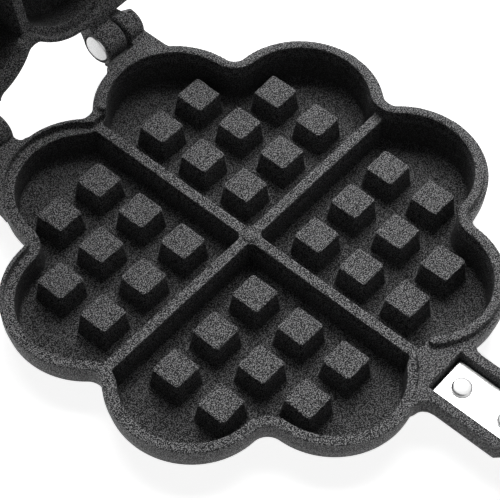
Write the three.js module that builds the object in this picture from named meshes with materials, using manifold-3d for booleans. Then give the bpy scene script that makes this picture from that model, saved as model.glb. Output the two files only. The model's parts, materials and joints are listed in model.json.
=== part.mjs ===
// Heart waffle iron, opened: two equal castings on a two-pin hinge, each with a riveted strap and a grip.
// Millimetres, +Z up. The origin is the middle of the lower pan's flat base, the hinge lies towards +Y.
// Each half is built in its own frame: z = 0 is the parting plane, the hearts open upwards, hinge at +y.

import * as THREE from 'three';
import * as BufferGeometryUtils from 'three/addons/utils/BufferGeometryUtils.js';
import Module from 'manifold-3d';

const wasm = await Module();
wasm.setup();

// Outline of the pan: eight lobes, two for each heart
const lobeCentreFar = 62.0;
const lobeCentreNear = 25.9;
const lobeRadius = 32.75;
const notchRadius = 5.5;
const lobeCount = 8;
const lobeSteps = 8;
const notchSteps = 3;

// Depths below the parting plane
const rimGap = 0.2;
const landDepth = 3.1;
const knobTopDepth = 4.9;
const floorDepth = 16.1;
const floorThickness = 3.4;

// Outer wall
const wallStraight = 6.0;
const wallDraft = 0.3;
const baseInset = 14.3;
const wallSteps = 4;

// Rim: a rebate on one half of the way round, a tongue on the other
const rimWidth = 5.6;
const lipWidth = 1.6;
const notchLipWidth = 3.5;
const tongueClearance = 0.45;
const tongueSeatGap = 1.1;
const tongueChamfer = 0.4;
const tongueSink = 0.3;
const tongueEndX = 6.0;
const rebateEndX = 4.7;

// Hearts
const cavityDraft = 0.8;
const floorFillet = 2.5;
const filletSteps = 2;
const ribTopWidth = 4.5;
const ribBaseWidth = 5.8;
const ribSink = 0.4;
const bossRadius = 3.1;
const bossHeight = 0.4;

// Knobs
const knobPitch = 22.0;
const firstKnobOffset = 18.1;
const knobsAcross = 3;
const knobTopWidth = 12.5;
const knobBaseWidth = 14.7;
const knobCornerRadius = 0.8;
const knobCornerSteps = 1;

// Hinge
const hingeReach = 11.55;
const knuckleRadius = 7.7;
const knuckleBevel = 1.0;
const knuckleSides = 20;
const innerKnuckleStart = 27.0;
const innerKnuckleLength = 11.2;
const knuckleGap = 0.8;
const outerKnuckleLength = 9.5;
const outerKnuckleFlat = 5.3;
const shelfGap = 9.9;
const shelfDepth = 7.5;
const shelfLedge = 3.4;
const shelfInnerEnd = 22.6;
const shelfOuterEnd = 52.9;
const shelfFillet = 1.6;
const webDepth = 13.0;
const webRoot = 28.0;
const webLip = 0.8;
const webInset = 0.4;
const webFillet = 3.2;
const cradleDrop = 7.5;
const cradleReach = 4.4;
const cradleInset = 1.6;
const cradleLip = 5.2;
const cradleThickness = 1.4;
const stopWidth = 5.5;
const stopThickness = 2.8;
const stopReach = 11.6;
const stopFoot = 3.5;
const stopFloor = 8.1;
const stopFloorStart = 2.4;
const pinRadius = 4.0;
const pinHeadRadius = 5.9;
const pinHeadHeight = 2.0;
const pinDome = 0.5;
const pinEndInset = 0.8;
const runningGap = 0.3;
const openAngleDegrees = 105;

// Arm of the casting and the strap in its pocket
const armHalfWidth = 13.9;
const armLength = 35.2;
const armDepth = 10.2;
const armEdgeRadius = 3.0;
const armEdgeSteps = 3;
const armEndChamfer = 4.1;
const armFlareRadius = 5.2;
const armFlareSteps = 4;
const armPocketSetback = 2.0;
const strapWidth = 18.4;
const strapThickness = 2.4;
const strapTopDepth = 4.5;
const strapCornerRadius = 1.0;
const strapSideGap = 0.5;
const strapEndGap = 0.8;
const seatGap = 0.3;

// Rivets of the strap
const rivetShankRadius = 2.4;
const rivetHeadRadius = 4.2;
const rivetHeadHeight = 2.2;
const rivetFootRadius = 3.6;
const rivetFootHeight = 1.2;
const rivetEdgeShare = 0.35;
const rivetDomeSteps = 3;
const innerRivetSetback = 8.45;
const outerRivetSetback = 8.15;

// Grip
const gripLength = 142.0;
const gripFrontHalfWidth = 13.6;
const gripBellyHalfWidth = 15.2;
const gripTailHalfWidth = 11.6;
const gripFrontDepth = 11.0;
const gripBellyDepth = 16.0;
const gripTailDepth = 12.0;
const gripShoulderLength = 12.0;
const gripBellyPlace = 74.0;
const gripTailRound = 13.0;
const gripTopEdge = 1.4;
const gripEndDepthShare = 0.45;
const gripSquareness = 0.7;
const gripStations = 12;
const gripCrowding = 1.6;
const gripEndShare = 0.996;
const gripArcSteps = 10;
const strapTailGap = 13.9;
const gripSlotGap = 0.3;
const gripRivetShankRadius = 2.0;
const gripRivetHeadRadius = 3.6;
const gripRivetHeadHeight = 1.2;
const gripRivetSink = 0.6;
const gripRivetFirst = 24.0;
const gripRivetTail = 18.0;
const gripRivetSkin = 3.0;

// Eyelet of the hanging hole
const eyeletSetback = 15.0;
const eyeletBoreRadius = 4.2;
const eyeletWall = 0.9;
const eyeletFlangeRadius = 6.6;
const eyeletFlangeThickness = 0.8;
const eyeletSkin = 1.6;
const eyeletSides = 14;

const rivetSides = 10;
const bossSides = 12;
const overrun = 2.0;

// Worked out from the sizes above
const castingDepth = floorDepth + floorThickness;
const panReach = lobeCentreFar + lobeRadius;
const hingeY = panReach + hingeReach;
const innerKnuckleEnd = innerKnuckleStart + innerKnuckleLength;
const outerKnuckleStart = innerKnuckleEnd + knuckleGap;
const outerKnuckleEnd = outerKnuckleStart + outerKnuckleLength;
const pinBoreRadius = pinRadius + runningGap;
const armEndY = -(panReach + armLength);
const pocketY = -(panReach - armPocketSetback);
const pocketFloorDepth = strapTopDepth + strapThickness + seatGap;
const strapInnerY = pocketY - strapEndGap;
const gripFrontY = armEndY - seatGap;
const gripEndY = gripFrontY - gripLength;
const eyeletY = gripEndY + eyeletSetback;
const strapOuterY = eyeletY + eyeletBoreRadius + eyeletWall + strapTailGap;
const tongueInset = lipWidth + tongueClearance;
const tongueTop = landDepth - tongueSeatGap;
const openAngle = THREE.MathUtils.degToRad(openAngleDegrees);

// Materials
const castMaterial = () => new THREE.MeshStandardMaterial({ color: 0x2a2a2b, roughness: 0.6, metalness: 0.3 });
const steelMaterial = () => new THREE.MeshStandardMaterial({ color: 0xdcdcda, roughness: 0.25, metalness: 1 });
const gripMaterial = () => new THREE.MeshStandardMaterial({ color: 0x161616, roughness: 0.45, metalness: 0 });

// Solids: from a closed geometry, and back to a mesh
function solidOf(geometry) {
  const bare = new THREE.BufferGeometry();
  bare.setAttribute('position', geometry.getAttribute('position').clone());
  if (geometry.index) bare.setIndex(geometry.index.clone());
  const merged = BufferGeometryUtils.mergeVertices(bare);
  const vertProperties = Float32Array.from(merged.getAttribute('position').array);
  const triVerts = Uint32Array.from(merged.index.array);
  return new wasm.Manifold(new wasm.Mesh({ numProp: 3, vertProperties, triVerts }));
}

function joined(solids) {
  return solids.reduce((whole, piece) => whole.add(piece));
}

function meshOf(name, solid, material) {
  const { vertProperties, triVerts } = solid.getMesh();
  const geometry = new THREE.BufferGeometry();
  geometry.setAttribute('position', new THREE.BufferAttribute(vertProperties, 3));
  geometry.setIndex(new THREE.BufferAttribute(triVerts, 1));
  const flat = geometry.toNonIndexed();
  flat.computeVertexNormals();
  const mesh = new THREE.Mesh(flat, material);
  mesh.name = name;
  return mesh;
}

// A loft through sections that run anticlockwise seen from +z and have equally many points, lowest first
function loft(sections) {
  const count = sections[0].points.length;
  const positions = sections.flatMap(({ points, z }) => points.flatMap((point) => [point.x, point.y, z]));
  const index = [];
  for (let ring = 0; ring + 1 < sections.length; ring += 1) {
    for (let i = 0; i < count; i += 1) {
      const next = (i + 1) % count;
      const [a, b] = [ring * count + i, ring * count + next];
      const [c, d] = [a + count, b + count];
      index.push(a, b, d, a, d, c);
    }
  }
  const last = (sections.length - 1) * count;
  const lowCap = THREE.ShapeUtils.triangulateShape(sections[0].points, []);
  const highCap = THREE.ShapeUtils.triangulateShape(sections.at(-1).points, []);
  lowCap.forEach(([a, b, c]) => index.push(a, c, b));
  highCap.forEach(([a, b, c]) => index.push(last + a, last + b, last + c));
  const geometry = new THREE.BufferGeometry();
  geometry.setAttribute('position', new THREE.Float32BufferAttribute(positions, 3));
  geometry.setIndex(index);
  return geometry;
}

function boxSolid(x0, x1, y0, y1, z0, z1) {
  const geometry = new THREE.BoxGeometry(x1 - x0, y1 - y0, z1 - z0);
  geometry.translate((x0 + x1) / 2, (y0 + y1) / 2, (z0 + z1) / 2);
  return solidOf(geometry);
}

function uprightCylinder(radius, y, z0, z1, sides = rivetSides) {
  const geometry = new THREE.CylinderGeometry(radius, radius, z1 - z0, sides);
  geometry.rotateX(Math.PI / 2);
  geometry.translate(0, y, (z0 + z1) / 2);
  return solidOf(geometry);
}

// A profile of (radius, length) pairs turned about the hinge axis, its length along +x
function turnedOnHinge(profile, startX) {
  const points = profile.map(([radius, along]) => new THREE.Vector2(radius, along));
  const geometry = new THREE.LatheGeometry(points, knuckleSides);
  geometry.rotateZ(-Math.PI / 2);
  geometry.translate(startX, hingeY, 0);
  return solidOf(geometry);
}

// A side profile of (y, z) pairs, extruded along x
function extrudedAlongX(profile, x0, x1) {
  const shape = new THREE.Shape(profile.map(([y, z]) => new THREE.Vector2(y, z)));
  const geometry = new THREE.ExtrudeGeometry(shape, { depth: x1 - x0, bevelEnabled: false });
  geometry.rotateX(Math.PI / 2);
  geometry.rotateZ(Math.PI / 2);
  geometry.translate(x0, 0, 0);
  return solidOf(geometry);
}

// Pan outline, drawn in by an inset: lobe arcs joined by notch arcs, whose centres never move
function lobeCentre(i) {
  const turn = Math.floor(i / 2) * Math.PI / 2;
  const centre = i % 2 === 0
    ? new THREE.Vector2(lobeCentreFar, lobeCentreNear)
    : new THREE.Vector2(lobeCentreNear, lobeCentreFar);
  return centre.rotateAround(new THREE.Vector2(), turn);
}

function notchCentre(a, b) {
  const middle = a.clone().add(b).multiplyScalar(0.5);
  const half = a.distanceTo(b) / 2;
  const rise = Math.sqrt((lobeRadius + notchRadius) ** 2 - half ** 2);
  return middle.clone().add(middle.clone().setLength(rise));
}

function arcPoints(centre, radius, from, to, steps) {
  const start = from.clone().sub(centre).angle();
  let sweep = to.clone().sub(centre).angle() - start;
  if (sweep > Math.PI) sweep -= 2 * Math.PI;
  if (sweep < -Math.PI) sweep += 2 * Math.PI;
  return Array.from({ length: steps + 1 }, (_, i) => {
    const angle = start + sweep * i / steps;
    return new THREE.Vector2(Math.cos(angle), Math.sin(angle)).multiplyScalar(radius).add(centre);
  });
}

function panOutline(inset) {
  const lobes = Array.from({ length: lobeCount }, (_, i) => lobeCentre(i));
  return lobes.flatMap((lobe, i) => {
    const next = lobes[(i + 1) % lobeCount];
    const previous = lobes[(i + lobeCount - 1) % lobeCount];
    const notch = notchCentre(lobe, next);
    const lobeArc = arcPoints(lobe, lobeRadius - inset, notchCentre(previous, lobe), notch, lobeSteps);
    const notchArc = arcPoints(notch, notchRadius + inset, lobe, next, notchSteps);
    return [...lobeArc, ...notchArc.slice(1, -1)];
  });
}

function panLoft(levels) {
  return solidOf(loft(levels.map(([inset, z]) => ({ points: panOutline(inset), z }))));
}

// Shell of the pan: straight wall, then an elliptical turn down to the flat base
function makeShell() {
  const turnDepth = castingDepth - wallStraight;
  const turnInset = baseInset - wallDraft;
  const turn = Array.from({ length: wallSteps + 1 }, (_, i) => {
    const angle = Math.PI / 2 * (1 - i / wallSteps);
    return [wallDraft + turnInset * (1 - Math.cos(angle)), -wallStraight - turnDepth * Math.sin(angle)];
  });
  return panLoft([...turn, [0, -rimGap]]);
}

function makeCavity() {
  const wallFootInset = rimWidth + cavityDraft;
  const fillet = Array.from({ length: filletSteps + 1 }, (_, i) => {
    const angle = Math.PI / 2 * i / filletSteps;
    return [
      wallFootInset + floorFillet * (1 - Math.sin(angle)),
      -floorDepth + floorFillet * (1 - Math.cos(angle)),
    ];
  });
  return panLoft([...fillet, [rimWidth, -landDepth], [rimWidth, tongueTop + overrun]]);
}

// Block that fills the rebate's end in the notch by the hinge: the lobe's curve runs on, then a straight edge
function makeRebateEnd() {
  const lobe = lobeCentre(2);
  const notch = notchCentre(lobeCentre(1), lobe);
  const wallRadius = lobeRadius - lipWidth;
  const curveEnd = notch.clone().sub(lobe).setLength(wallRadius).add(lobe);
  const edgeY = notch.y - notchRadius - notchLipWidth;
  const cornerX = lobe.x + Math.sqrt(wallRadius ** 2 - (edgeY - lobe.y) ** 2);
  const points = [
    curveEnd,
    new THREE.Vector2(cornerX, edgeY),
    new THREE.Vector2(rebateEndX + overrun, edgeY),
    new THREE.Vector2(rebateEndX + overrun, panReach),
    new THREE.Vector2(curveEnd.x, panReach),
  ];
  return solidOf(loft([{ points, z: -landDepth - overrun }, { points, z: overrun + overrun }]));
}

function makeRebate() {
  const band = panLoft([[lipWidth, -landDepth], [lipWidth, overrun]]);
  const far = panReach + overrun;
  const half = boxSolid(-far, rebateEndX, -far, far, -landDepth - overrun, overrun + overrun);
  const end = makeRebateEnd();
  return band.intersect(half).subtract(joined([end, end.mirror([0, 1, 0])]));
}

function makeTongue() {
  const foot = -rimGap - tongueSink;
  const shoulder = tongueTop - tongueChamfer;
  const outside = panLoft([
    [tongueInset, foot],
    [tongueInset, shoulder],
    [tongueInset + tongueChamfer, tongueTop],
  ]);
  const inside = panLoft([
    [rimWidth, foot - overrun],
    [rimWidth, shoulder],
    [rimWidth - tongueChamfer, tongueTop],
    [rimWidth - tongueChamfer, tongueTop + overrun],
  ]);
  const far = panReach + overrun;
  const half = boxSolid(tongueEndX, far, -far, far, foot - overrun, tongueTop + overrun);
  const bar = outside.subtract(inside).intersect(half);
  const endRadius = (rimWidth - tongueInset) / 2;
  const notch = notchCentre(lobeCentre(1), lobeCentre(2));
  const middleRadius = notchRadius + (rimWidth + tongueInset) / 2;
  const endY = notch.y - Math.sqrt(middleRadius ** 2 - tongueEndX ** 2);
  const ends = [-endY, endY].map((y) => {
    const geometry = new THREE.LatheGeometry([
      new THREE.Vector2(0, foot),
      new THREE.Vector2(endRadius, foot),
      new THREE.Vector2(endRadius, shoulder),
      new THREE.Vector2(endRadius - tongueChamfer, tongueTop),
      new THREE.Vector2(0, tongueTop),
    ], rivetSides);
    geometry.rotateX(Math.PI / 2);
    geometry.translate(tongueEndX, y, 0);
    return solidOf(geometry);
  });
  return joined([bar, ...ends]);
}

// Ribs cross between the hearts, their ends buried in the notches of the wall
function makeRibs() {
  const foot = -floorDepth - ribSink;
  const wallFace = notchCentre(lobeCentre(lobeCount - 1), lobeCentre(0)).x - notchRadius - rimWidth;
  const section = (halfLength, width) => [
    new THREE.Vector2(-halfLength, -width / 2),
    new THREE.Vector2(halfLength, -width / 2),
    new THREE.Vector2(halfLength, width / 2),
    new THREE.Vector2(-halfLength, width / 2),
  ];
  const rib = loft([
    { points: section(wallFace - cavityDraft + ribSink, ribBaseWidth), z: foot },
    { points: section(wallFace + ribSink, ribTopWidth), z: -landDepth },
  ]);
  const across = solidOf(rib);
  const along = solidOf(rib.clone().rotateZ(Math.PI / 2));
  const boss = uprightCylinder(bossRadius, 0, foot, bossHeight - landDepth, bossSides);
  return joined([across, along, boss]);
}

function knobSection(width) {
  const shape = [];
  const half = width / 2 - knobCornerRadius;
  for (let corner = 0; corner < 4; corner += 1) {
    for (let i = 0; i <= knobCornerSteps; i += 1) {
      const angle = Math.PI / 2 * (corner + i / knobCornerSteps);
      const centre = new THREE.Vector2(half, half).rotateAround(new THREE.Vector2(), Math.PI / 2 * corner);
      const away = new THREE.Vector2(Math.cos(angle), Math.sin(angle)).multiplyScalar(knobCornerRadius);
      shape.push(away.add(centre));
    }
  }
  return shape;
}

// Each heart has a square grid of knobs without the one in its cleft
function makeKnobs() {
  const foot = -floorDepth - ribSink;
  const spread = (knobBaseWidth - knobTopWidth) / (floorDepth - knobTopDepth);
  const knob = loft([
    { points: knobSection(knobBaseWidth + spread * ribSink), z: foot },
    { points: knobSection(knobTopWidth), z: -knobTopDepth },
  ]);
  const knobs = [];
  for (let i = 0; i < knobsAcross; i += 1) {
    for (let j = 0; j < knobsAcross; j += 1) {
      const inCleft = i === knobsAcross - 1 && j === knobsAcross - 1;
      for (let quarter = 0; quarter < 4 && !inCleft; quarter += 1) {
        const place = new THREE.Vector2(firstKnobOffset + i * knobPitch, firstKnobOffset + j * knobPitch);
        place.rotateAround(new THREE.Vector2(), quarter * Math.PI / 2);
        knobs.push(solidOf(knob.clone().translate(place.x, place.y, 0)));
      }
    }
  }
  return joined(knobs);
}

// A side profile of (y, z) pairs measured from the hinge axis, extruded along x
function besideHinge(profile, x0, x1) {
  return extrudedAlongX(profile.map(([y, z]) => [hingeY + y, z]), x0, x1);
}

// Concave fillet, seen in plan, between a bracket's side at x and the lobe it grows out of
function lobeFillet(profile, x, side, radius) {
  const lobeY = lobeCentreFar + Math.sqrt(lobeRadius ** 2 - (Math.abs(x) - lobeCentreNear) ** 2);
  const shape = new THREE.Shape();
  shape.moveTo(x, lobeY - radius);
  shape.lineTo(x, lobeY + radius);
  shape.quadraticCurveTo(x, lobeY, x + side * radius, lobeY);
  shape.lineTo(x + side * radius, lobeY - radius);
  const geometry = new THREE.ExtrudeGeometry(shape, {
    depth: castingDepth,
    bevelEnabled: false,
    curveSegments: filletSteps + 1,
  });
  geometry.translate(0, 0, -castingDepth);
  return solidOf(geometry).intersect(besideHinge(profile, x - radius, x + radius));
}

// Stop behind the outer knuckle: (along, behind) pairs lie on the open mate's parting plane and square to it
function makeStop() {
  const face = shelfDepth + runningGap;
  const back = face + stopThickness;
  const profile = [
    [0, 0],
    [knuckleRadius, 0],
    [stopFloor, stopFloorStart],
    [stopFloor, face],
    [stopReach, face],
    [stopReach, back],
    [stopFoot, back],
    [0, knuckleRadius],
  ].map(([along, behind]) => [
    -along * Math.cos(openAngle) + behind * Math.sin(openAngle),
    along * Math.sin(openAngle) + behind * Math.cos(openAngle),
  ]);
  return besideHinge(profile, outerKnuckleStart, outerKnuckleStart + stopWidth);
}

function makeKnuckle(startX, length) {
  return turnedOnHinge([
    [0, 0],
    [knuckleRadius - knuckleBevel, 0],
    [knuckleRadius, knuckleBevel],
    [knuckleRadius, length - knuckleBevel],
    [knuckleRadius - knuckleBevel, length],
    [0, length],
  ], startX);
}

// Hinge side: shelves at rim height, a web under each knuckle, a cradle below the mate's inner knuckle
function makeHingeSide() {
  const root = [[-webRoot, -rimGap], [-webRoot, -webDepth]];
  const relief = [
    ...root,
    [-shelfGap - shelfLedge, -shelfDepth],
    [-shelfGap, -shelfDepth],
    [-shelfGap, -rimGap],
  ];
  const cradle = [
    ...root,
    [-cradleReach, -cradleDrop - cradleThickness],
    [-cradleReach, -cradleDrop],
    [-knuckleRadius, -cradleLip],
    [-shelfGap, -rimGap],
  ];
  const web = [
    ...root,
    [-knuckleRadius, -knuckleRadius - webLip],
    [0, webInset - knuckleRadius],
    [0, -rimGap],
  ];
  const chord = outerKnuckleFlat * Math.SQRT2;
  const beyondFlat = [
    [chord + overrun, -overrun],
    [chord + overrun, chord + overrun],
    [-overrun, chord + overrun],
  ];
  const outerKnuckle = makeKnuckle(outerKnuckleStart, outerKnuckleLength)
    .subtract(besideHinge(beyondFlat, outerKnuckleStart + stopWidth, outerKnuckleEnd + overrun));
  return joined([
    outerKnuckle,
    makeStop(),
    makeKnuckle(-innerKnuckleEnd, innerKnuckleLength),
    besideHinge(web, outerKnuckleStart + webInset, outerKnuckleEnd - webInset),
    besideHinge(relief, shelfInnerEnd, innerKnuckleEnd),
    lobeFillet(relief, shelfInnerEnd, -1, shelfFillet),
    besideHinge(cradle, innerKnuckleStart + cradleInset, outerKnuckleStart + knuckleBevel),
    besideHinge(web, -innerKnuckleEnd + webInset, -innerKnuckleStart - webInset),
    lobeFillet(web, -innerKnuckleStart - webInset, 1, webFillet),
    besideHinge(relief, -shelfOuterEnd, -innerKnuckleEnd + webInset + overrun),
  ]);
}

function makeHingeBores() {
  const headSeat = pinHeadHeight + runningGap;
  const outerBore = [
    [0, -overrun],
    [pinBoreRadius, -overrun],
    [pinBoreRadius, outerKnuckleLength + overrun],
    [0, outerKnuckleLength + overrun],
  ];
  const innerBore = [
    [0, -knuckleGap],
    [pinBoreRadius, -knuckleGap],
    [pinBoreRadius, innerKnuckleLength - headSeat],
    [pinHeadRadius + runningGap, innerKnuckleLength - headSeat],
    [pinHeadRadius + runningGap, innerKnuckleLength + overrun],
    [0, innerKnuckleLength + overrun],
  ];
  return joined([turnedOnHinge(outerBore, outerKnuckleStart), turnedOnHinge(innerBore, -innerKnuckleEnd)]);
}

// Arm in plan: filleted out of the lobes, straight sides, chamfered end
function armOutline(inset) {
  const flareX = armHalfWidth + armFlareRadius;
  const lobeY = -lobeCentreFar - Math.sqrt(lobeRadius ** 2 - (flareX - lobeCentreNear) ** 2);
  const flareCentre = new THREE.Vector2(flareX, lobeY - armFlareRadius);
  const flare = arcPoints(
    flareCentre,
    armFlareRadius + inset,
    new THREE.Vector2(flareX, lobeY),
    new THREE.Vector2(armHalfWidth, flareCentre.y),
    armFlareSteps,
  );
  const sideX = armHalfWidth - inset;
  const endY = armEndY + inset;
  const chamfer = armEndChamfer - inset * (2 - Math.SQRT2);
  const right = [
    new THREE.Vector2(flareX, -lobeCentreFar),
    ...flare,
    new THREE.Vector2(sideX, endY + chamfer),
    new THREE.Vector2(sideX - chamfer, endY),
  ];
  const left = right.map((point) => new THREE.Vector2(-point.x, point.y));
  return [...left, ...right.reverse()];
}

function makeArm() {
  const edge = Array.from({ length: armEdgeSteps + 1 }, (_, i) => {
    const angle = Math.PI / 2 * i / armEdgeSteps;
    return {
      points: armOutline(armEdgeRadius * (1 - Math.sin(angle))),
      z: -armDepth + armEdgeRadius * (1 - Math.cos(angle)),
    };
  });
  return solidOf(loft([...edge, { points: armOutline(0), z: -rimGap }]));
}

function rivetPlaces() {
  return { inner: pocketY - innerRivetSetback, outer: armEndY + outerRivetSetback };
}

function makeArmCuts() {
  const half = strapWidth / 2 + strapSideGap;
  const pocket = boxSolid(-half, half, armEndY - overrun, pocketY, -pocketFloorDepth, overrun);
  const bores = Object.values(rivetPlaces()).flatMap((y) => [
    uprightCylinder(rivetShankRadius + seatGap, y, -armDepth - overrun, -strapTopDepth),
    uprightCylinder(rivetFootRadius + seatGap, y, -armDepth - overrun, -armDepth + rivetFootHeight),
  ]);
  return joined([pocket, ...bores]);
}

function makePan() {
  const body = joined([makeShell(), makeArm(), makeHingeSide()]);
  const hollow = body.subtract(makeCavity()).subtract(makeRebate());
  const filled = joined([hollow, makeRibs(), makeKnobs(), makeTongue()]);
  return filled.subtract(makeArmCuts()).subtract(makeHingeBores());
}

// Hinge pin: held by its own half's outer knuckle, its domed head turns in the other half's inner knuckle
function makePin() {
  const length = outerKnuckleEnd - pinEndInset - innerKnuckleStart;
  return turnedOnHinge([
    [0, -pinDome],
    [pinHeadRadius - pinHeadHeight, -pinDome],
    [pinHeadRadius, 0],
    [pinHeadRadius, pinHeadHeight],
    [pinRadius, pinHeadHeight],
    [pinRadius, length - pinDome],
    [pinRadius - pinDome, length],
    [0, length],
  ], innerKnuckleStart);
}

// Strap: flat steel, its corners eased, through the arm's pocket into the grip
function makeStrap() {
  const half = strapWidth / 2;
  const shape = new THREE.Shape();
  shape.moveTo(-half, strapOuterY);
  shape.lineTo(half, strapOuterY);
  shape.lineTo(half, strapInnerY - strapCornerRadius);
  shape.quadraticCurveTo(half, strapInnerY, half - strapCornerRadius, strapInnerY);
  shape.lineTo(-half + strapCornerRadius, strapInnerY);
  shape.quadraticCurveTo(-half, strapInnerY, -half, strapInnerY - strapCornerRadius);
  const geometry = new THREE.ExtrudeGeometry(shape, {
    depth: strapThickness,
    bevelEnabled: false,
    curveSegments: filletSteps + 1,
  });
  geometry.translate(0, 0, -strapTopDepth - strapThickness);
  const holes = [
    ...Object.values(rivetPlaces()).map((y) => [y, rivetShankRadius + seatGap]),
    ...Object.values(gripRivetPlaces()).map((y) => [y, gripRivetShankRadius + seatGap]),
  ];
  const bores = holes.map(([y, radius]) => uprightCylinder(
    radius, y, -strapTopDepth - strapThickness - overrun, -strapTopDepth + overrun,
  ));
  return solidOf(geometry).subtract(joined(bores));
}

// A rivet with a domed head above and a flat foot below, turned about +z from its foot up
function makeRivet(y, shank, head, foot) {
  const dome = Array.from({ length: rivetDomeSteps }, (_, i) => {
    const angle = Math.PI / 2 * i / rivetDomeSteps;
    const rise = rivetEdgeShare + (1 - rivetEdgeShare) * Math.sin(angle);
    return [head.radius * Math.cos(angle), head.seat + head.height * rise];
  });
  const profile = [
    [0, foot.seat - foot.height],
    [foot.radius, foot.seat - foot.height],
    [foot.radius, foot.seat],
    [shank, foot.seat],
    [shank, head.seat],
    [head.radius, head.seat],
    ...dome,
    [0, head.seat + head.height],
  ].map(([radius, z]) => new THREE.Vector2(radius, z));
  const geometry = new THREE.LatheGeometry(profile, rivetSides);
  geometry.rotateX(Math.PI / 2);
  geometry.translate(0, y, 0);
  return solidOf(geometry);
}

function makeStrapRivet(y) {
  const head = { radius: rivetHeadRadius, height: rivetHeadHeight, seat: seatGap - strapTopDepth };
  const footSeat = rivetFootHeight - armDepth - seatGap;
  const foot = { radius: rivetFootRadius, height: rivetFootHeight - seatGap, seat: footSeat };
  return makeRivet(y, rivetShankRadius, head, foot);
}

// Grip: half an oval handle, flat on the parting plane, swelling to a belly and rounded off at its tail
function eased(from, to, share) {
  return from + (to - from) * (1 - Math.cos(Math.PI * share)) / 2;
}

function gripAt(along) {
  const tailAt = gripLength - gripTailRound;
  const size = (front, belly, tail) => {
    if (along < gripShoulderLength) return front;
    if (along < gripBellyPlace) {
      return eased(front, belly, (along - gripShoulderLength) / (gripBellyPlace - gripShoulderLength));
    }
    return eased(belly, tail, Math.min(1, (along - gripBellyPlace) / (tailAt - gripBellyPlace)));
  };
  const past = Math.max(0, (along - tailAt) / gripTailRound);
  const round = Math.sqrt(1 - past ** 2);
  const depthShare = gripEndDepthShare + (1 - gripEndDepthShare) * round;
  return {
    halfWidth: size(gripFrontHalfWidth, gripBellyHalfWidth, gripTailHalfWidth) * round,
    depth: size(gripFrontDepth, gripBellyDepth, gripTailDepth) * depthShare,
  };
}

function gripSection(along) {
  const { halfWidth, depth } = gripAt(along);
  const edge = Math.min(gripTopEdge, halfWidth / 2);
  const arc = Array.from({ length: gripArcSteps + 1 }, (_, i) => {
    const angle = Math.PI * i / gripArcSteps;
    const bulge = Math.sin(angle) ** gripSquareness;
    return new THREE.Vector2(-halfWidth * Math.cos(angle), -edge - (depth - edge) * bulge);
  });
  return [
    new THREE.Vector2(halfWidth - edge, -rimGap),
    new THREE.Vector2(edge - halfWidth, -rimGap),
    ...arc,
  ];
}

function gripRivetPlaces() {
  return { inner: gripFrontY - gripRivetFirst, outer: strapOuterY + gripRivetTail };
}

function gripHeadSeat() {
  return -rimGap - gripRivetSink - gripRivetHeadHeight;
}

function gripFootSeat(y) {
  return gripRivetSkin - gripAt(gripFrontY - y).depth;
}

function makeGrip() {
  const sections = Array.from({ length: gripStations }, (_, i) => {
    const left = 1 - i / (gripStations - 1);
    const along = gripLength * gripEndShare * (1 - left ** gripCrowding);
    return { points: gripSection(along), z: along };
  });
  const geometry = loft(sections);
  geometry.rotateX(Math.PI / 2);
  geometry.translate(0, gripFrontY, 0);
  const half = strapWidth / 2 + gripSlotGap;
  const slot = boxSolid(
    -half,
    half,
    strapOuterY - gripSlotGap,
    gripFrontY + overrun,
    -strapTopDepth - strapThickness - gripSlotGap,
    -strapTopDepth + gripSlotGap,
  );
  const headSeat = gripHeadSeat();
  const bores = Object.values(gripRivetPlaces()).flatMap((y) => [
    uprightCylinder(gripRivetShankRadius + seatGap, y, gripFootSeat(y) - overrun, headSeat + overrun),
    uprightCylinder(gripRivetHeadRadius + seatGap, y, headSeat, overrun),
    uprightCylinder(gripRivetHeadRadius + seatGap, y, -gripBellyDepth - overrun, gripFootSeat(y)),
  ]);
  const eyelet = eyeletPlace();
  const tube = eyeletBoreRadius + eyeletWall + seatGap;
  const flange = eyeletFlangeRadius + seatGap;
  const flangeDepth = eyeletFlangeThickness + seatGap;
  const hanging = [
    uprightCylinder(tube, eyelet.y, eyelet.low - overrun, overrun, eyeletSides),
    uprightCylinder(flange, eyelet.y, eyelet.high - flangeDepth, overrun, eyeletSides),
    uprightCylinder(flange, eyelet.y, -gripBellyDepth - overrun, eyelet.low + flangeDepth, eyeletSides),
  ];
  return solidOf(geometry).subtract(joined([slot, ...bores, ...hanging]));
}

function makeGripRivet(y) {
  const head = { radius: gripRivetHeadRadius, height: gripRivetHeadHeight, seat: gripHeadSeat() + seatGap };
  const foot = { radius: gripRivetHeadRadius, height: gripRivetHeadHeight, seat: gripFootSeat(y) - seatGap };
  return makeRivet(y, gripRivetShankRadius, head, foot);
}

// Eyelet: a flanged steel tube that lines the hanging hole
function eyeletPlace() {
  const depth = gripAt(gripFrontY - eyeletY).depth;
  return { y: eyeletY, high: -rimGap - seatGap, low: eyeletSkin - depth };
}

function makeEyelet() {
  const { y, high, low } = eyeletPlace();
  const tube = eyeletBoreRadius + eyeletWall;
  const profile = [
    [eyeletBoreRadius, low],
    [eyeletFlangeRadius, low],
    [eyeletFlangeRadius, low + eyeletFlangeThickness],
    [tube, low + eyeletFlangeThickness],
    [tube, high - eyeletFlangeThickness],
    [eyeletFlangeRadius, high - eyeletFlangeThickness],
    [eyeletFlangeRadius, high],
    [eyeletBoreRadius, high],
    [eyeletBoreRadius, low],
  ].map(([radius, z]) => new THREE.Vector2(radius, z));
  const geometry = new THREE.LatheGeometry(profile, eyeletSides);
  geometry.rotateX(Math.PI / 2);
  geometry.translate(0, y, 0);
  return solidOf(geometry);
}

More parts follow.
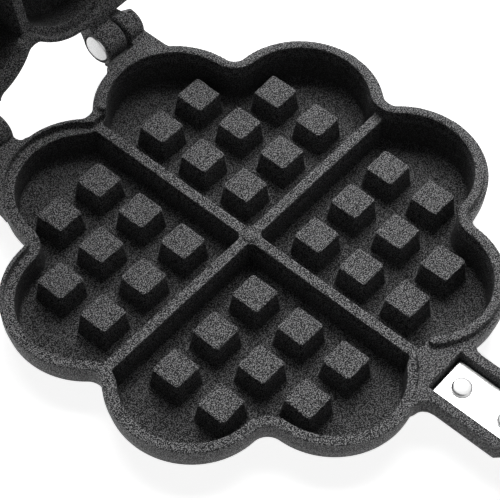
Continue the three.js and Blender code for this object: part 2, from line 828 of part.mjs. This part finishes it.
// One half of the iron, in its own frame
function makeHalf(side) {
  const half = new THREE.Group();
  const strapRivets = rivetPlaces();
  const gripRivets = gripRivetPlaces();
  half.add(
    meshOf(`${side}_pan`, makePan(), castMaterial()),
    meshOf(`${side}_hinge_pin`, makePin(), steelMaterial()),
    meshOf(`${side}_strap`, makeStrap(), steelMaterial()),
    meshOf(`${side}_strap_rivet_inner`, makeStrapRivet(strapRivets.inner), steelMaterial()),
    meshOf(`${side}_strap_rivet_outer`, makeStrapRivet(strapRivets.outer), steelMaterial()),
    meshOf(`${side}_grip`, makeGrip(), gripMaterial()),
    meshOf(`${side}_grip_rivet_inner`, makeGripRivet(gripRivets.inner), steelMaterial()),
    meshOf(`${side}_grip_rivet_outer`, makeGripRivet(gripRivets.outer), steelMaterial()),
    meshOf(`${side}_eyelet`, makeEyelet(), steelMaterial()),
  );
  return half;
}

const lower = makeHalf('lower');
lower.position.z = castingDepth;

// The upper half is the same casting turned over, then swung open about the hinge axis
const upper = makeHalf('upper');
upper.rotation.y = Math.PI;
upper.position.y = -hingeY;
const swing = new THREE.Group();
swing.add(upper);
swing.rotation.x = -openAngle;
swing.position.set(0, hingeY, castingDepth);

const waffleIron = new THREE.Group();
waffleIron.add(lower, swing);

export default waffleIron;
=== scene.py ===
import json
import math

import bmesh
import bpy
import numpy as np
from mathutils import Matrix, Vector


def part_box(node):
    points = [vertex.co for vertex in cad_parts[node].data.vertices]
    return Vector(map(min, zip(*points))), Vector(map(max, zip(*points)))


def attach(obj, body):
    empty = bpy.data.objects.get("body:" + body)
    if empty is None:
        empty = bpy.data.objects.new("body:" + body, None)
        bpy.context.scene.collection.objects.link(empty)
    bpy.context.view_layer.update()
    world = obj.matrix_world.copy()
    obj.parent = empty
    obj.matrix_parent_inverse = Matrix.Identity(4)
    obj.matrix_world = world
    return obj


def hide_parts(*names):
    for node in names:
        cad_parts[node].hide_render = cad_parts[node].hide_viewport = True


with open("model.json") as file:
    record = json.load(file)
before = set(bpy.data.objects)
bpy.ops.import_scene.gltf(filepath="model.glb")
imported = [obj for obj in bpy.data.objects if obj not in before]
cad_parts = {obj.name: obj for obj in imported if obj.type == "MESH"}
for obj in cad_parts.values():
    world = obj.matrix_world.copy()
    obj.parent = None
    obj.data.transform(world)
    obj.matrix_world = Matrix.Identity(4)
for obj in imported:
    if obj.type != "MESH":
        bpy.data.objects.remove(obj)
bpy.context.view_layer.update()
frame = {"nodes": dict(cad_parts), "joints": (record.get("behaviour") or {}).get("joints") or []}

# Heart waffle iron, opened. Metres, in the frame of the solids: the lower pan's flat base lies
# on z = 0, and the upper half leans back behind it.
scene = bpy.context.scene
nodes = frame["nodes"]
hinge = frame["joints"][0]

# Outline of the pan, repeated from the solids: eight lobes joined by notches
lobe_far = 0.0620
lobe_near = 0.0259
lobe_radius = 0.03275
notch_radius = 0.0055
lobe_steps = 8
notch_steps = 3
land_depth = 0.0031

# Castings: an even mesh, eased by smoothing passes, then thinned
cast_voxel = 0.0004
cast_smoothing = 0.5
cast_passes = 2
cast_kept_share = 0.4
arc_outer_reach = (-0.0010, -0.0003)
arc_inner_reach = (0.0100, 0.0150)

# Lip that carries the cradle on below the mate's inner knuckle: (along, up) pairs from the
# hinge's axis
cradle_lip_profile = (
    (-0.0070, -0.0093),
    (-0.0070, -0.0075),
    (-0.0046, -0.0075),
    (-0.0026, -0.0083),
    (-0.0026, -0.0093),
)
cradle_lip_start = 0.0286
cradle_lip_end = 0.0400

# Collar and ring round the boss where the ribs cross
collar_radius = 0.0044
collar_height = 0.0080
ring_radius = 0.0035
ring_width = 0.00022
ring_depth = 0.0008

# Painted shade on the castings: full tone on top and outside, darker down in the hearts,
# darkest on their outer walls. Reaches are insets from the outline.
recess_heights = (0.0050, 0.0135)
painted_recess_shade = 0.52
wall_outer_reach = (0.0050, 0.0056)
wall_inner_reach = (0.0070, 0.0095)
wall_foot_heights = (0.0040, 0.0060)
wall_top_heights = (0.0154, 0.0163)
painted_wall_shade = 0.45

# Turned pieces
turned_sides = 64
seam_distance = 1e-7
rivet_head_height = 0.0022
rivet_foot_radius = 0.0036
rivet_edge_share = 0.35
rivet_edge_rate = 3
rivet_steps = 12
grip_rivet_head_height = 0.0012
pin_head_height = 0.0020
pin_head_overhang = 0.0019
pin_edge = 0.0006
pin_crown = 0.0004
pin_crown_radius_share = 0.5
pin_crown_height_share = 0.2
eyelet_bore_radius = 0.0042
eyelet_wall = 0.0009
eyelet_flange = 0.0008

# Straps
strap_edge = 0.0004
strap_edge_steps = 3

# Grip: (half width, depth) at its front, belly and tail
grip_length = 0.1420
grip_front = (0.0136, 0.0110)
grip_belly = (0.0152, 0.0160)
grip_tail = (0.0116, 0.0120)
grip_shoulder = 0.0120
grip_belly_place = 0.0740
grip_tail_round = 0.0130
grip_edge = 0.0014
grip_end_depth_share = 0.45
grip_squareness = 0.7
grip_end_share = 0.996
grip_crowding = 1.6
grip_stations = 64
grip_arc_steps = 40
grip_edge_steps = 4
seat_depth = 0.0015
rivet_clearance = 0.0003
parting_gap = 0.0002

# Coating. In this and the other materials a pattern has a width, tones and roughness are
# (place, value) stops, and a bump is (depth, strength).
coating_grain = 0.00044
coating_fine_grain = 0.0003
coating_cloud = 0.03
coating_grain_detail = 1
coating_cloud_detail = 2
coating_tones = (
    (0.40, (0.009, 0.009, 0.010)),
    (0.50, (0.033, 0.033, 0.035)),
    (0.58, (0.490, 0.490, 0.496)),
)
coating_drift = ((0.3, 0.92), (0.7, 1.0))
coating_roughness = ((0.3, 0.36), (0.7, 0.54))
coating_grain_bump = (0.0009, 1.0)
coating_fine_bump = (0.0004, 0.5)
coating_specular = 0.18

# Steel
steel_line = 0.00025
steel_patch = 0.006
steel_detail = 3
steel_tones = ((0.3, 0.80), (0.7, 0.90))
steel_streaks = ((0.3, 0.94), (0.6, 1.0))
steel_roughness = ((0.3, 0.34), (0.7, 0.22))
steel_line_bump = (0.00002, 0.5)
steel_patch_bump = (0.0001, 0.3)
strap_stretch = (1, 30, 1)
pin_shade = 0.62

# Black moulding
moulding_pore = 0.0004
moulding_flow = 0.004
moulding_pore_detail = 2
moulding_flow_detail = 4
moulding_stretch = (1, 4, 1)
moulding_tones = ((0.3, (0.011, 0.011, 0.011)), (0.7, (0.022, 0.021, 0.020)))
moulding_specks = ((0.35, 0.8), (0.6, 1.0))
moulding_roughness = ((0.3, 0.46), (0.7, 0.34))
moulding_pore_bump = (0.00008, 0.4)
moulding_flow_bump = (0.0003, 0.25)
moulding_specular = 0.5
moulding_coat = 0.15

# Colour sockets of a mix node, whose names are shared with its other sockets
mix_first = 6
mix_second = 7
mix_result = 2

# Camera of the photograph
lens_mm = 134.07
sensor_mm = 36.0
camera_near = 0.01
camera_place = Vector((-0.32369, -0.26260, 0.58938))
camera_forward = Vector((0.45189, 0.36624, -0.81343))
camera_roll_degrees = 2.276

# Stage
floor_size = 8.0
floor_cells = 8
floor_drop = 0.0003
floor_colour = (0.8, 0.8, 0.8)
floor_roughness = 0.9
shadow_level = 0.90
first_diffuse_bounce = 0.5
key_place = (1.02, 0.86, 1.88)
key_size = 1.8
key_watts = 53.0
fill_place = (-0.9, -0.7, 1.0)
fill_size = 0.9
fill_watts = 0.1
world_light = 0.004


def baked(piece):
    """Replaces the piece's mesh by what its modifiers make of it."""
    graph = bpy.context.evaluated_depsgraph_get()
    mesh = bpy.data.meshes.new_from_object(piece.evaluated_get(graph))
    piece.modifiers.clear()
    piece.data = mesh
    return piece


def new_piece(name, mesh):
    piece = bpy.data.objects.new(name, mesh)
    scene.collection.objects.link(piece)
    return piece


def mesh_from(name, build):
    """A mesh filled by build(bm), with its faces turned outwards and shaded smooth."""
    bm = bmesh.new()
    build(bm)
    bmesh.ops.recalc_face_normals(bm, faces=bm.faces)
    for face in bm.faces:
        face.smooth = True
    mesh = bpy.data.meshes.new(name)
    bm.to_mesh(mesh)
    bm.free()
    return mesh


def points_of(mesh):
    points = np.empty(3 * len(mesh.vertices))
    mesh.vertices.foreach_get("co", points)
    return points.reshape(-1, 3)


# The upper half is the lower one turned over about the hinge's middle, then swung open
hinge_point = Vector(hinge["pos_m"])
open_angle = math.radians(hinge["range_deg"][1])
to_upper = (
    Matrix.Translation(hinge_point)
    @ Matrix.Rotation(-open_angle, 4, "X")
    @ Matrix.Rotation(math.pi, 4, "Y")
    @ Matrix.Translation(-hinge_point)
)


def both_halves(name, node, piece, material):
    """The piece stands for lower_<node>, and a copy of it, turned and swung, for upper_<node>."""
    twin = new_piece("upper_" + name, piece.data.copy())
    twin.data.transform(to_upper)
    piece.name = "lower_" + name
    for half, made in (("lower", piece), ("upper", twin)):
        made.data.materials.clear()
        made.data.materials.append(material)
        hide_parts(half + "_" + node)
        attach(made, half)


# Castings
def outline_arcs():
    """(centre, radius, side, start, end, steps) of each lobe arc, side 1, and notch arc, -1."""
    lobes = []
    for quarter in range(4):
        for x, y in ((lobe_far, lobe_near), (lobe_near, lobe_far)):
            lobes.append(Matrix.Rotation(quarter * math.pi / 2, 2) @ Vector((x, y)))
    notches = []
    for i, lobe in enumerate(lobes):
        other = lobes[(i + 1) % len(lobes)]
        middle = (lobe + other) / 2
        half_gap = (lobe - other).length / 2
        rise = math.sqrt((lobe_radius + notch_radius) ** 2 - half_gap ** 2)
        notches.append(middle + middle.normalized() * rise)
    arcs = []
    for i, lobe in enumerate(lobes):
        ends = notches[i - 1] - lobe, notches[i] - lobe
        arcs.append((lobe, lobe_radius, 1, *ends, lobe_steps))
        ends = lobe - notches[i], lobes[(i + 1) % len(lobes)] - notches[i]
        arcs.append((notches[i], notch_radius, -1, *ends, notch_steps))
    return arcs


def eased_ramp(values, low, high):
    share = np.clip((values - low) / (high - low), 0, 1)
    return share * share * (3 - 2 * share)


def beside_arcs(points):
    """For each arc its steps and sweep, and each point's offset from its centre, turn and inset."""
    for centre, radius, side, first, last, steps in outline_arcs():
        start = math.atan2(first.y, first.x)
        sweep = math.remainder(math.atan2(last.y, last.x) - start, 2 * math.pi)
        away = points[:, :2] - np.array(centre)
        reach = np.hypot(away[:, 0], away[:, 1])
        angle = np.arctan2(away[:, 1], away[:, 0]) - start
        turn = np.mod(angle * math.copysign(1, sweep), 2 * math.pi)
        yield steps, abs(sweep), away, turn, side * (radius - reach)


def drawn_out_to_arcs(points):
    """Moves the walls' points from the chords of the solid's outline out to its true arcs."""
    moved = points.copy()
    for steps, sweep, away, turn, inset in beside_arcs(points):
        step = sweep / steps
        weight = eased_ramp(inset, *arc_outer_reach) * (1 - eased_ramp(inset, *arc_inner_reach))
        gain = np.cos(np.mod(turn, step) - step / 2) / math.cos(step / 2) - 1
        weight[turn > sweep] = 0
        moved[:, :2] += away * (gain * weight)[:, None]
    return moved


def painted_coating_shade(points):
    """Painted shade: 1 on top and outside, less down in the hearts, least on their outer walls."""
    height = points[:, 2]
    wall = np.zeros(len(points))
    for _, sweep, _, turn, inset in beside_arcs(points):
        beside = eased_ramp(inset, *wall_outer_reach) * (1 - eased_ramp(inset, *wall_inner_reach))
        wall = np.maximum(wall, beside * (turn <= sweep))
    wall *= eased_ramp(height, *wall_foot_heights) * (1 - eased_ramp(height, *wall_top_heights))
    recess = painted_recess_shade + (1 - painted_recess_shade) * eased_ramp(height, *recess_heights)
    return recess * (1 - (1 - painted_wall_shade) * wall)


def with_small_forms(pan):
    """The pan's mesh, a collar round its centre boss, and a prism that overlaps its cradle."""
    bm = bmesh.new()
    bm.from_mesh(pan)
    collar_middle = hinge_point.z - land_depth - collar_height / 2
    bmesh.ops.create_cone(
        bm,
        cap_ends=True,
        segments=turned_sides,
        radius1=collar_radius,
        radius2=collar_radius,
        depth=collar_height,
        matrix=Matrix.Translation((0, 0, collar_middle)),
    )
    ends = []
    for x in (cradle_lip_start, cradle_lip_end):
        corners = []
        for along, up in cradle_lip_profile:
            corners.append(bm.verts.new((x, hinge_point.y + along, hinge_point.z + up)))
        ends.append(corners)
    near, far = ends
    faces = [bm.faces.new(near), bm.faces.new(far[::-1])]
    for i in range(len(near)):
        faces.append(bm.faces.new((near[i - 1], far[i - 1], far[i], near[i])))
    bmesh.ops.recalc_face_normals(bm, faces=faces)
    mesh = bpy.data.meshes.new("casting")
    bm.to_mesh(mesh)
    bm.free()
    return mesh


def with_ring_cut(points):
    """Lowers the points of a narrow ring round the centre boss."""
    reach = np.hypot(points[:, 0], points[:, 1])
    top = points[:, 2] > hinge_point.z - land_depth - ring_depth / 2
    points[:, 2] -= top * ring_depth * np.exp(-((reach - ring_radius) / ring_width) ** 2)
    return points


def cast_piece():
    """The lower casting with true arcs and the soft edges of a coated casting."""
    piece = new_piece("casting", with_small_forms(nodes["lower_pan"].data))
    remesh = piece.modifiers.new("even mesh", "REMESH")
    remesh.mode = "VOXEL"
    remesh.voxel_size = cast_voxel
    baked(piece)
    points = with_ring_cut(drawn_out_to_arcs(points_of(piece.data)))
    piece.data.vertices.foreach_set("co", points.ravel())
    ease = piece.modifiers.new("eased edges", "SMOOTH")
    ease.factor = cast_smoothing
    ease.iterations = cast_passes
    thin = piece.modifiers.new("thinned", "DECIMATE")
    thin.ratio = cast_kept_share
    baked(piece)
    piece.data.shade_smooth()
    # Painted shade, stored on the points: darker down in the hearts, darkest on their outer walls
    shade = piece.data.attributes.new("shade", "FLOAT", "POINT")
    shade.data.foreach_set("value", painted_coating_shade(points_of(piece.data)))
    return piece


# Turned pieces
def turned(name, profile, place, axis="Z"):
    """A profile of (radius, height) pairs turned about an axis through place."""
    def build(bm):
        points = [bm.verts.new((radius, 0, height)) for radius, height in profile]
        edges = [bm.edges.new(pair) for pair in zip(points, points[1:])]
        bmesh.ops.spin(
            bm,
            geom=points + edges,
            cent=(0, 0, 0),
            axis=(0, 0, 1),
            angle=2 * math.pi,
            steps=turned_sides,
            use_merge=True,
        )
        bmesh.ops.remove_doubles(bm, verts=bm.verts, dist=seam_distance)

    piece = new_piece(name, mesh_from(name, build))
    aim = Matrix.Rotation(math.pi / 2, 4, "Y") if axis == "X" else Matrix.Identity(4)
    piece.data.transform(Matrix.Translation(place) @ aim)
    return piece


def middle_and_box(node):
    low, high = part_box(node)
    return (low + high) / 2, low, high


def rivet(name, node, head_height):
    """A rivet with a domed head above and a flat foot below."""
    middle, low, high = middle_and_box(node)
    head_radius = (high.x - low.x) / 2
    seat = high.z - head_height
    foot_top = low.z + head_height / 2
    dome = []
    for i in range(rivet_steps + 1):
        angle = math.pi / 2 * i / rivet_steps
        edge = rivet_edge_share * min(1, rivet_edge_rate * i / rivet_steps)
        rise = edge + (1 - rivet_edge_share) * math.sin(angle)
        dome.append((head_radius * math.cos(angle), seat + head_height * min(1, rise)))
    profile = [
        (0, low.z),
        (rivet_foot_radius, low.z),
        (rivet_foot_radius, foot_top),
        (head_radius / 2, foot_top),
        (head_radius / 2, seat),
        *dome,
    ]
    return turned(name, profile, Vector((middle.x, middle.y, 0)))


def pin():
    """The hinge pin, its domed head towards the middle of the iron."""
    middle, low, high = middle_and_box("lower_hinge_pin")
    head_radius = (high.y - low.y) / 2
    shank_radius = head_radius - pin_head_overhang
    profile = [
        (0, low.x),
        (head_radius * pin_crown_radius_share, low.x + pin_crown * pin_crown_height_share),
        (head_radius - pin_edge, low.x + pin_crown),
        (head_radius, low.x + pin_crown + pin_edge),
        (head_radius, low.x + pin_head_height),
        (shank_radius, low.x + pin_head_height),
        (shank_radius, high.x - pin_edge),
        (shank_radius - pin_edge, high.x),
        (0, high.x),
    ]
    return turned("pin", profile, Vector((0, middle.y, middle.z)), "X")


def eyelet():
    """A flanged steel tube with rolled rims."""
    middle, low, high = middle_and_box("lower_eyelet")
    flange_radius = (high.x - low.x) / 2
    tube = eyelet_bore_radius + eyelet_wall
    rim = eyelet_flange / 2
    half = [
        (tube, middle.z),
        (tube, high.z - eyelet_flange),
        (flange_radius - rim, high.z - eyelet_flange),
        (flange_radius, high.z - rim),
        (flange_radius - rim, high.z),
        (eyelet_bore_radius + rim, high.z),
        (eyelet_bore_radius, high.z - rim),
        (eyelet_bore_radius, middle.z),
    ]
    mirrored = [(radius, low.z + high.z - z) for radius, z in half]
    return turned("eyelet", half + mirrored[::-1][1:], Vector((middle.x, middle.y, 0)))


# Grip
def between(start, end, share):
    return start + (end - start) * (1 - math.cos(math.pi * share)) / 2


def grip_at(along):
    """(half width, depth) of the grip at a distance from its front."""
    tail_at = grip_length - grip_tail_round
    if along < grip_shoulder:
        half_width, depth = grip_front
    elif along < grip_belly_place:
        share = (along - grip_shoulder) / (grip_belly_place - grip_shoulder)
        half_width, depth = (between(a, b, share) for a, b in zip(grip_front, grip_belly))
    else:
        share = min(1, (along - grip_belly_place) / (tail_at - grip_belly_place))
        half_width, depth = (between(a, b, share) for a, b in zip(grip_belly, grip_tail))
    rounding = math.sqrt(1 - max(0, (along - tail_at) / grip_tail_round) ** 2)
    depth_share = grip_end_depth_share + (1 - grip_end_depth_share) * rounding
    return half_width * rounding, depth * depth_share


def grip_section(along):
    """(x, depth) pairs round the grip's section, flat on top with eased edges."""
    half_width, depth = grip_at(along)
    edge = min(grip_edge, half_width / 2)
    section = []
    for i in range(grip_arc_steps + 1):
        angle = math.pi * i / grip_arc_steps
        bulge = math.sin(angle) ** grip_squareness
        section.append((-half_width * math.cos(angle), edge + (depth - edge) * bulge))
    corner = []
    for i in range(1, grip_edge_steps + 1):
        angle = math.pi / 2 * i / grip_edge_steps
        x = half_width - edge * (1 - math.cos(angle))
        corner.append((x, edge + (parting_gap - edge) * math.sin(angle)))
    return section + corner + [(-x, depth) for x, depth in reversed(corner)]


def grip():
    """The grip's half-oval handle, with seats for its rivets and a bore for its eyelet."""
    _, low, high = middle_and_box("lower_grip")
    top = high.z + parting_gap

    def build(bm):
        rings = []
        for i in range(grip_stations):
            to_end = 1 - (1 - i / (grip_stations - 1)) ** grip_crowding
            along = grip_length * grip_end_share * to_end
            section = grip_section(along)
            ring = [bm.verts.new((x, high.y - along, top - depth)) for x, depth in section]
            if rings:
                for j, vertex in enumerate(ring):
                    bm.faces.new((rings[-1][j - 1], rings[-1][j], vertex, ring[j - 1]))
            rings.append(ring)
        bm.faces.new(rings[0])
        bm.faces.new(rings[-1])

    piece = new_piece("grip", mesh_from("grip", build))
    bottom = low.z - grip_edge
    above = high.z + grip_edge
    cutters = []
    for node in ("lower_grip_rivet_inner", "lower_grip_rivet_outer", "lower_eyelet"):
        spot, spot_low, spot_high = middle_and_box(node)
        radius = (spot_high.x - spot_low.x) / 2 + rivet_clearance
        if "rivet" in node:
            inner = radius / 2
        else:
            inner = eyelet_bore_radius + eyelet_wall + rivet_clearance
        profile = [
            (0, bottom),
            (radius, bottom),
            (radius, spot_low.z + seat_depth),
            (inner, spot_low.z + seat_depth),
            (inner, spot_high.z - seat_depth),
            (radius, spot_high.z - seat_depth),
            (radius, above),
            (0, above),
        ]
        cutters.append(turned("seat", profile, Vector((spot.x, spot.y, 0))))
    for cutter in cutters:
        cut = piece.modifiers.new("seat", "BOOLEAN")
        cut.operation = "DIFFERENCE"
        cut.solver = "EXACT"
        cut.object = cutter
    baked(piece)
    for cutter in cutters:
        bpy.data.objects.remove(cutter)
    return piece


# Materials
class Look:
    """Short calls for building one material."""

    def __init__(self, name):
        self.material = bpy.data.materials.new(name)
        self.material.use_nodes = True
        self.tree = self.material.node_tree
        self.shader = self.tree.nodes["Principled BSDF"]
        self.place = self.add("ShaderNodeTexCoord").outputs["Object"]

    def add(self, kind, **values):
        node = self.tree.nodes.new(kind)
        for key, value in values.items():
            setattr(node, key, value)
        return node

    def link(self, source, target):
        self.tree.links.new(source, target)

    def noise(self, size, detail, stretch=(1, 1, 1)):
        """Noise whose grains are about size wide, stretched along the axes."""
        mapping = self.add("ShaderNodeMapping")
        mapping.inputs["Scale"].default_value = [1 / (size * s) for s in stretch]
        self.link(self.place, mapping.inputs["Vector"])
        texture = self.add("ShaderNodeTexNoise")
        texture.inputs["Scale"].default_value = 1
        texture.inputs["Detail"].default_value = detail
        self.link(mapping.outputs["Vector"], texture.inputs["Vector"])
        return texture.outputs["Fac"]

    def ramp(self, value, *stops):
        """Colours or greys at places from 0 to 1."""
        node = self.add("ShaderNodeValToRGB")
        elements = node.color_ramp.elements
        while len(elements) < len(stops):
            elements.new(position=0.5)
        for element, (place, colour) in zip(elements, stops):
            rgb = colour if isinstance(colour, tuple) else (colour, colour, colour)
            element.position = place
            element.color = (*rgb, 1)
        self.link(value, node.inputs["Fac"])
        return node.outputs["Color"]

    def multiplied(self, a, b):
        node = self.add("ShaderNodeMix", data_type="RGBA", blend_type="MULTIPLY")
        node.inputs["Factor"].default_value = 1.0
        self.link(a, node.inputs[mix_first])
        self.link(b, node.inputs[mix_second])
        return node.outputs[mix_result]

    def bump(self, height, depth_and_strength, under=None):
        distance, strength = depth_and_strength
        node = self.add("ShaderNodeBump")
        node.inputs["Distance"].default_value = distance
        node.inputs["Strength"].default_value = strength
        self.link(height, node.inputs["Height"])
        if under:
            self.link(under, node.inputs["Normal"])
        return node.outputs["Normal"]

    def finish(self, colour, roughness, normal, **fixed):
        self.link(colour, self.shader.inputs["Base Color"])
        self.link(roughness, self.shader.inputs["Roughness"])
        self.link(normal, self.shader.inputs["Normal"])
        for key, value in fixed.items():
            self.shader.inputs[key.replace("_", " ")].default_value = value
        return self.material


def coating():
    """Dark non-stick coating: sandy grain, fine pale flecks, a soft sheen."""
    look = Look("non-stick coating")
    grain = look.noise(coating_grain, coating_grain_detail)
    fine = look.noise(coating_fine_grain, coating_grain_detail)
    cloud = look.noise(coating_cloud, coating_cloud_detail)
    tone = look.ramp(grain, *coating_tones)
    drift = look.ramp(cloud, *coating_drift)
    # The colour is multiplied by the casting's painted shade: darker in the hearts and on their
    # walls
    shade = look.add("ShaderNodeAttribute", attribute_name="shade").outputs["Fac"]
    colour = look.multiplied(look.multiplied(tone, drift), shade)
    roughness = look.ramp(fine, *coating_roughness)
    normal = look.bump(grain, coating_grain_bump, look.bump(fine, coating_fine_bump))
    return look.finish(
        colour, roughness, normal, Metallic=0.0, Specular_IOR_Level=coating_specular,
    )


def steel(name, stretch=(1, 1, 1), shade=1.0):
    """Bright steel with fine lines along one axis and faint rubbed patches."""
    look = Look(name)
    lines = look.noise(steel_line, steel_detail, stretch)
    patches = look.noise(steel_patch, steel_detail)
    tone = look.ramp(patches, *((place, grey * shade) for place, grey in steel_tones))
    streak = look.ramp(lines, *steel_streaks)
    colour = look.multiplied(tone, streak)
    roughness = look.ramp(lines, *steel_roughness)
    normal = look.bump(lines, steel_line_bump, look.bump(patches, steel_patch_bump))
    return look.finish(colour, roughness, normal, Metallic=1.0)


def black_moulding():
    """Black heat-resistant moulding: faint flow marks, satin skin."""
    look = Look("black moulding")
    pores = look.noise(moulding_pore, moulding_pore_detail)
    flow = look.noise(moulding_flow, moulding_flow_detail, moulding_stretch)
    tone = look.ramp(flow, *moulding_tones)
    speck = look.ramp(pores, *moulding_specks)
    colour = look.multiplied(tone, speck)
    roughness = look.ramp(flow, *moulding_roughness)
    normal = look.bump(pores, moulding_pore_bump, look.bump(flow, moulding_flow_bump))
    return look.finish(
        colour, roughness, normal,
        Metallic=0.0, Specular_IOR_Level=moulding_specular, Coat_Weight=moulding_coat,
    )


coat = coating()
strap_steel = steel("brushed steel", strap_stretch)
turned_steel = steel("turned steel")
pin_steel = steel("pin steel", shade=pin_shade)
grip_black = black_moulding()

both_halves("casting", "pan", cast_piece(), coat)
both_halves("pin", "hinge_pin", pin(), pin_steel)
both_halves("eyelet_ring", "eyelet", eyelet(), turned_steel)
both_halves("handle", "grip", grip(), grip_black)
for where in ("inner", "outer"):
    for name, node, head_height in (
        ("dome_rivet_", "strap_rivet_", rivet_head_height),
        ("flush_rivet_", "grip_rivet_", grip_rivet_head_height),
    ):
        piece = rivet("rivet", "lower_" + node + where, head_height)
        both_halves(name + where, node + where, piece, turned_steel)
for half in ("lower", "upper"):
    strap = nodes[half + "_strap"]
    strap.data.materials.clear()
    strap.data.materials.append(strap_steel)
    strap.modifiers.new("joined faces", "WELD")
    bevel = strap.modifiers.new("eased edges", "BEVEL")
    bevel.width = strap_edge
    bevel.segments = strap_edge_steps
    bevel.harden_normals = True


# Stage: a white floor that keeps the shadow
def computed(tree, operation, first, second):
    """A math node's result, from a socket and a second socket or a number."""
    node = tree.nodes.new("ShaderNodeMath")
    node.operation = operation
    tree.links.new(first, node.inputs[0])
    if isinstance(second, float):
        node.inputs[1].default_value = second
    else:
        tree.links.new(second, node.inputs[1])
    return node.outputs[0]


def seen_white(tree):
    """1 where the camera sees the surface, itself or in a direct reflection, else 0."""
    path = tree.nodes.new("ShaderNodeLightPath")
    seen = path.outputs["Is Camera Ray"]
    for kind in ("Is Glossy Ray", "Is Transmission Ray"):
        seen = computed(tree, "MAXIMUM", seen, path.outputs[kind])
    direct = computed(tree, "LESS_THAN", path.outputs["Diffuse Depth"], first_diffuse_bounce)
    return computed(tree, "MULTIPLY", seen, direct)


def make_floor():
    def build(bm):
        bmesh.ops.create_grid(
            bm, x_segments=floor_cells, y_segments=floor_cells, size=floor_size / 2,
        )

    floor = new_piece("floor", mesh_from("floor", build))
    floor.location.z = -floor_drop
    material = bpy.data.materials.new("floor")
    material.use_nodes = True
    tree = material.node_tree
    shader = tree.nodes["Principled BSDF"]
    shader.inputs["Base Color"].default_value = (*floor_colour, 1)
    shader.inputs["Roughness"].default_value = floor_roughness
    white = tree.nodes.new("ShaderNodeEmission")
    strength = computed(tree, "MULTIPLY", seen_white(tree), shadow_level)
    both = tree.nodes.new("ShaderNodeAddShader")
    tree.links.new(strength, white.inputs["Strength"])
    tree.links.new(shader.outputs[0], both.inputs[0])
    tree.links.new(white.outputs[0], both.inputs[1])
    tree.links.new(both.outputs[0], tree.nodes["Material Output"].inputs["Surface"])
    floor.data.materials.append(material)


def make_world():
    """White where it is seen, a dim light elsewhere."""
    world = bpy.data.worlds.new("studio")
    world.use_nodes = True
    tree = world.node_tree
    dim = tree.nodes["Background"]
    white = tree.nodes.new("ShaderNodeBackground")
    for light in (dim, white):
        light.inputs["Color"].default_value = (1, 1, 1, 1)
    dim.inputs["Strength"].default_value = world_light
    mix = tree.nodes.new("ShaderNodeMixShader")
    tree.links.new(seen_white(tree), mix.inputs[0])
    tree.links.new(dim.outputs[0], mix.inputs[1])
    tree.links.new(white.outputs[0], mix.inputs[2])
    tree.links.new(mix.outputs[0], tree.nodes["World Output"].inputs["Surface"])
    scene.world = world


def make_lamp(name, place, size, watts):
    """A square lamp aimed at the origin."""
    data = bpy.data.lights.new(name, "AREA")
    data.shape = "SQUARE"
    data.size = size
    data.energy = watts
    lamp = bpy.data.objects.new(name, data)
    lamp.location = place
    lamp.rotation_euler = (-Vector(place)).to_track_quat("-Z", "Y").to_euler()
    scene.collection.objects.link(lamp)


make_floor()
make_world()
make_lamp("key", key_place, key_size, key_watts)
make_lamp("fill", fill_place, fill_size, fill_watts)

# Camera
camera = bpy.data.objects.new("camera", bpy.data.cameras.new("camera"))
camera.data.lens = lens_mm
camera.data.sensor_width = sensor_mm
camera.data.clip_start = camera_near
roll = Matrix.Rotation(math.radians(camera_roll_degrees), 4, "Z")
aim = camera_forward.to_track_quat("-Z", "Y").to_matrix().to_4x4()
camera.matrix_world = Matrix.Translation(camera_place) @ aim @ roll
scene.collection.objects.link(camera)
scene.camera = camera
scene.view_settings.view_transform = "Standard"
